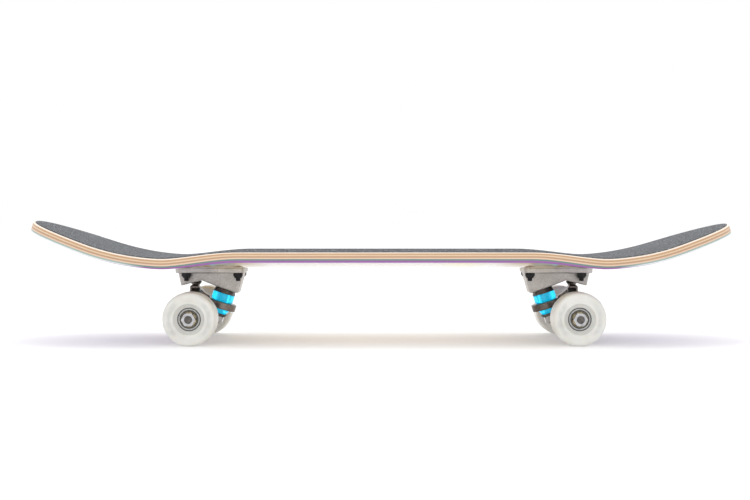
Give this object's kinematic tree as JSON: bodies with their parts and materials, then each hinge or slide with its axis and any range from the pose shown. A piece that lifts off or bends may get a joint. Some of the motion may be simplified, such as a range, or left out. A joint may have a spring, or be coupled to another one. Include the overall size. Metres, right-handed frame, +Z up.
{
  "type": "skateboard",
  "caption": "Short popsicle skateboard: laminated maple deck with grip tape, steering trucks on urethane bushings, and urethane wheels on ball bearings.",
  "frame": {"origin": "on the floor under the middle of the deck: bottom centre of the whole board standing on its wheels", "axes": "+X towards the tail, -X towards the nose, +Y to the right side, +Z up"},
  "size_m": [0.7368, 0.193, 0.1272],
  "materials": {
    "deck_wood": "clear lacquer",
    "grip_grit": "coarse grit sheet",
    "cast_metal": "tumbled casting",
    "hanger_metal": "polished casting",
    "bright_steel": "zinc plated",
    "dark_steel": "dark plated",
    "black_steel": "black oxide",
    "bearing_steel": "ground",
    "shield_metal": "dark gold stamped sheet",
    "cage_plastic": "moulded",
    "cup_plastic": "moulded",
    "clear_urethane": "clear cyan urethane",
    "wheel_urethane": "smooth off-white urethane"
  },
  "bodies": {
    "deck": {"deck": "deck_wood", "grip_tape": "grip_grit", "truck_lock_nuts": "black_steel", "truck_screws": "black_steel", "front_baseplate": "cast_metal", "front_bottom_bushing": "clear_urethane", "front_bottom_washer": "dark_steel", "front_kingpin": "dark_steel", "front_kingpin_nut": "bright_steel", "front_pivot_cup": "cup_plastic", "front_top_bushing": "clear_urethane", "front_top_washer": "dark_steel", "rear_baseplate": "cast_metal", "rear_bottom_bushing": "clear_urethane", "rear_bottom_washer": "dark_steel", "rear_kingpin": "dark_steel", "rear_kingpin_nut": "bright_steel", "rear_pivot_cup": "cup_plastic", "rear_top_bushing": "clear_urethane", "rear_top_washer": "dark_steel"},
    "front_hanger": {"front_axle": "dark_steel", "front_axle_nuts": "bright_steel", "front_hanger": "hanger_metal", "front_left_inner_races": "bearing_steel", "front_left_spacer": "bright_steel", "front_right_inner_races": "bearing_steel", "front_right_spacer": "bright_steel", "front_speed_washers": "bright_steel"},
    "front_left_wheel": {"front_left_outer_races": "bearing_steel", "front_left_shields": "shield_metal", "front_left_wheel": "wheel_urethane"},
    "front_left_cages": {"front_left_balls": "bearing_steel", "front_left_cages": "cage_plastic"},
    "front_right_wheel": {"front_right_outer_races": "bearing_steel", "front_right_shields": "shield_metal", "front_right_wheel": "wheel_urethane"},
    "front_right_cages": {"front_right_balls": "bearing_steel", "front_right_cages": "cage_plastic"},
    "rear_hanger": {"rear_axle": "dark_steel", "rear_axle_nuts": "bright_steel", "rear_hanger": "hanger_metal", "rear_left_inner_races": "bearing_steel", "rear_left_spacer": "bright_steel", "rear_right_inner_races": "bearing_steel", "rear_right_spacer": "bright_steel", "rear_speed_washers": "bright_steel"},
    "rear_left_wheel": {"rear_left_outer_races": "bearing_steel", "rear_left_shields": "shield_metal", "rear_left_wheel": "wheel_urethane"},
    "rear_left_cages": {"rear_left_balls": "bearing_steel", "rear_left_cages": "cage_plastic"},
    "rear_right_wheel": {"rear_right_outer_races": "bearing_steel", "rear_right_shields": "shield_metal", "rear_right_wheel": "wheel_urethane"},
    "rear_right_cages": {"rear_right_balls": "bearing_steel", "rear_right_cages": "cage_plastic"}
  },
  "joints": [
    {"name": "front_truck_steer", "type": "hinge", "parent": "deck", "child": "front_hanger", "pos_m": [-0.17041, 0, 0.03726], "axis": [-0.7564, 0, 0.6541], "range_deg": [-10, 10], "stiffness_Nm_per_rad": 30, "deforming": ["front_top_bushing", "front_bottom_bushing"]},
    {"name": "front_left_spin", "type": "hinge", "parent": "front_hanger", "child": "front_left_wheel", "pos_m": [-0.1925, -0.0764, 0.027], "axis": [0, 1, 0], "continuous": true},
    {"name": "front_left_cage_spin", "type": "hinge", "parent": "front_hanger", "child": "front_left_cages", "pos_m": [-0.1925, -0.0764, 0.027], "axis": [0, 1, 0], "continuous": true},
    {"name": "front_right_spin", "type": "hinge", "parent": "front_hanger", "child": "front_right_wheel", "pos_m": [-0.1925, 0.0764, 0.027], "axis": [0, 1, 0], "continuous": true},
    {"name": "front_right_cage_spin", "type": "hinge", "parent": "front_hanger", "child": "front_right_cages", "pos_m": [-0.1925, 0.0764, 0.027], "axis": [0, 1, 0], "continuous": true},
    {"name": "rear_truck_steer", "type": "hinge", "parent": "deck", "child": "rear_hanger", "pos_m": [0.17541, 0, 0.03726], "axis": [0.7564, 0, 0.6541], "range_deg": [-10, 10], "stiffness_Nm_per_rad": 30, "deforming": ["rear_top_bushing", "rear_bottom_bushing"]},
    {"name": "rear_left_spin", "type": "hinge", "parent": "rear_hanger", "child": "rear_left_wheel", "pos_m": [0.1975, -0.0764, 0.027], "axis": [0, 1, 0], "continuous": true},
    {"name": "rear_left_cage_spin", "type": "hinge", "parent": "rear_hanger", "child": "rear_left_cages", "pos_m": [0.1975, -0.0764, 0.027], "axis": [0, 1, 0], "continuous": true},
    {"name": "rear_right_spin", "type": "hinge", "parent": "rear_hanger", "child": "rear_right_wheel", "pos_m": [0.1975, 0.0764, 0.027], "axis": [0, 1, 0], "continuous": true},
    {"name": "rear_right_cage_spin", "type": "hinge", "parent": "rear_hanger", "child": "rear_right_cages", "pos_m": [0.1975, 0.0764, 0.027], "axis": [0, 1, 0], "continuous": true}
  ],
  "couplings": [
    {"joint": "front_left_cage_spin", "follows": "front_left_spin", "ratio": 0.632},
    {"joint": "front_right_cage_spin", "follows": "front_right_spin", "ratio": 0.632},
    {"joint": "rear_left_cage_spin", "follows": "rear_left_spin", "ratio": 0.632},
    {"joint": "rear_right_cage_spin", "follows": "rear_right_spin", "ratio": 0.632}
  ]
}
